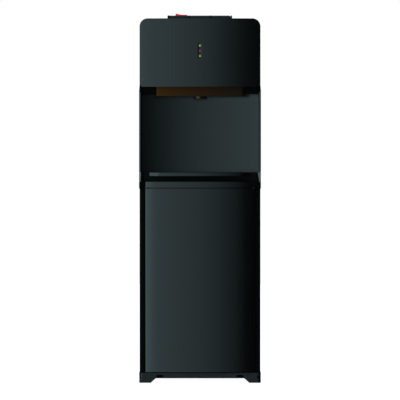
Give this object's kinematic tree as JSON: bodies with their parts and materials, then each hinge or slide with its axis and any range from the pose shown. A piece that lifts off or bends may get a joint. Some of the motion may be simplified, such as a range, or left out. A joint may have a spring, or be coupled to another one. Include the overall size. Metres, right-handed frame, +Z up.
{
  "type": "bottled water dispenser",
  "caption": "Floor-standing top-load water dispenser with piano keys, child lock, recessed niche with nozzle and drip tray, and a storage cabinet with a bowed door.",
  "frame": {"origin": "centre of the footprint on the floor, under the middle of the bounding box", "axes": "+Z up, -Y out of the front where the keys, niche and door are, +X to the right of someone facing the front"},
  "size_m": [0.32, 0.34, 0.97],
  "materials": {
    "gloss_black": "high gloss",
    "satin_black": "satin",
    "matt_black": "fine texture",
    "black_steel": "semi-gloss powder coat",
    "smoked_copper": "smoked translucent",
    "lock_red": "gloss",
    "lamp_amber": "diffuse lens",
    "lamp_red": "diffuse lens",
    "lamp_green": "diffuse lens",
    "liner_grey": "satin",
    "rubber": "matt",
    "bare_steel": "brushed",
    "natural_plastic": "satin",
    "copper": "drawn tube",
    "brass": "satin",
    "foam": "foam",
    "silicone": "translucent"
  },
  "bodies": {
    "root": {"back_panel": "black_steel", "base": "matt_black", "cabinet_liner": "liner_grey", "cabinet_shelf": "liner_grey", "catch_magnet": "rubber", "cold_hose": "silicone", "cold_tank": "bare_steel", "cold_tank_jacket": "foam", "cold_valve": "natural_plastic", "compressor": "satin_black", "compressor_carrier": "bare_steel", "compressor_relay": "matt_black", "condenser_coil": "black_steel", "cord_inlet": "rubber", "discharge_pipe": "copper", "drain_pipe": "silicone", "evaporator_coil": "copper", "front_panel": "gloss_black", "heater_band": "brass", "hinge_pin_bottom": "bare_steel", "hinge_pin_top": "bare_steel", "hot_hose": "silicone", "hot_tank": "bare_steel", "hot_valve": "natural_plastic", "key_console": "matt_black", "key_shaft": "bare_steel", "lamp_insert": "matt_black", "lens_cooling": "lamp_green", "lens_heating": "lamp_amber", "lens_power": "lamp_red", "niche_shell": "gloss_black", "normal_valve": "natural_plastic", "nozzle": "matt_black", "nozzle_cover": "smoked_copper", "outlet_manifold": "natural_plastic", "side_panel_left": "black_steel", "side_panel_right": "black_steel", "suction_pipe": "copper", "switch_plate": "matt_black", "top_cover": "gloss_black", "tray_housing": "gloss_black"},
    "door": {"door_panel": "gloss_black", "door_liner": "liner_grey", "door_gasket": "rubber", "catch_strike": "bare_steel"},
    "hot_key": {"hot_key": "satin_black"},
    "normal_key": {"normal_key": "satin_black"},
    "cold_key": {"cold_key": "satin_black"},
    "child_lock": {"child_lock": "lock_red"},
    "hot_stem": {"hot_stem": "natural_plastic"},
    "normal_stem": {"normal_stem": "natural_plastic"},
    "cold_stem": {"cold_stem": "natural_plastic"},
    "drip_tray": {"drip_tray": "gloss_black"},
    "drip_grille": {"drip_grille": "matt_black"},
    "bottle_seat": {"bottle_seat": "matt_black", "bottle_probe": "natural_plastic"},
    "hot_rocker": {"hot_rocker": "lock_red"},
    "cold_rocker": {"cold_rocker": "lamp_green"},
    "drain_cap": {"drain_cap": "matt_black"}
  },
  "joints": [
    {"name": "door_swing", "type": "hinge", "parent": "root", "child": "door", "pos_m": [0.134, -0.152, 0.269], "axis": [0, 0, 1], "range_deg": [0, 110]},
    {"name": "hot_key_press", "type": "hinge", "parent": "root", "child": "hot_key", "pos_m": [-0.0548, -0.104, 0.948], "axis": [1, 0, 0], "range_deg": [0, 8], "stiffness_Nm_per_rad": 0.8, "springref_deg": -8.59},
    {"name": "normal_key_press", "type": "hinge", "parent": "root", "child": "normal_key", "pos_m": [0.0005, -0.104, 0.948], "axis": [1, 0, 0], "range_deg": [0, 8], "stiffness_Nm_per_rad": 0.8, "springref_deg": -8.59},
    {"name": "cold_key_press", "type": "hinge", "parent": "root", "child": "cold_key", "pos_m": [0.0558, -0.104, 0.948], "axis": [1, 0, 0], "range_deg": [0, 8], "stiffness_Nm_per_rad": 0.8, "springref_deg": -8.59},
    {"name": "hot_stem_push", "type": "slide", "parent": "root", "child": "hot_stem", "axis": [0, 0, -1], "range_m": [0, 0.0045]},
    {"name": "normal_stem_push", "type": "slide", "parent": "root", "child": "normal_stem", "axis": [0, 0, -1], "range_m": [0, 0.0045]},
    {"name": "cold_stem_push", "type": "slide", "parent": "root", "child": "cold_stem", "axis": [0, 0, -1], "range_m": [0, 0.0045]},
    {"name": "child_lock_slide", "type": "slide", "parent": "hot_key", "child": "child_lock", "axis": [-1, 0, 0], "range_m": [0, 0.008], "stiffness_N_per_m": 60, "springref_m": -0.004},
    {"name": "drip_tray_pull", "type": "slide", "parent": "root", "child": "drip_tray", "axis": [0, -1, 0], "range_m": [0, 0.11]},
    {"name": "drip_grille_lift", "type": "slide", "parent": "drip_tray", "child": "drip_grille", "axis": [0, 0, 1], "range_m": [0, 0.06]},
    {"name": "bottle_seat_lift", "type": "slide", "parent": "root", "child": "bottle_seat", "axis": [0, 0, 1], "range_m": [0, 0.1]},
    {"name": "hot_rocker_tilt", "type": "hinge", "parent": "root", "child": "hot_rocker", "pos_m": [-0.099, 0.1525, 0.72], "axis": [1, 0, 0], "range_deg": [0, 18]},
    {"name": "cold_rocker_tilt", "type": "hinge", "parent": "root", "child": "cold_rocker", "pos_m": [-0.071, 0.1525, 0.72], "axis": [1, 0, 0], "range_deg": [0, 18]},
    {"name": "drain_cap_off", "type": "slide", "parent": "root", "child": "drain_cap", "axis": [0, 1, 0], "range_m": [0, 0.03]}
  ],
  "couplings": [
    {"joint": "hot_stem_push", "follows": "hot_key_press", "m_per_rad": 0.03},
    {"joint": "normal_stem_push", "follows": "normal_key_press", "m_per_rad": 0.03},
    {"joint": "cold_stem_push", "follows": "cold_key_press", "m_per_rad": 0.03}
  ]
}
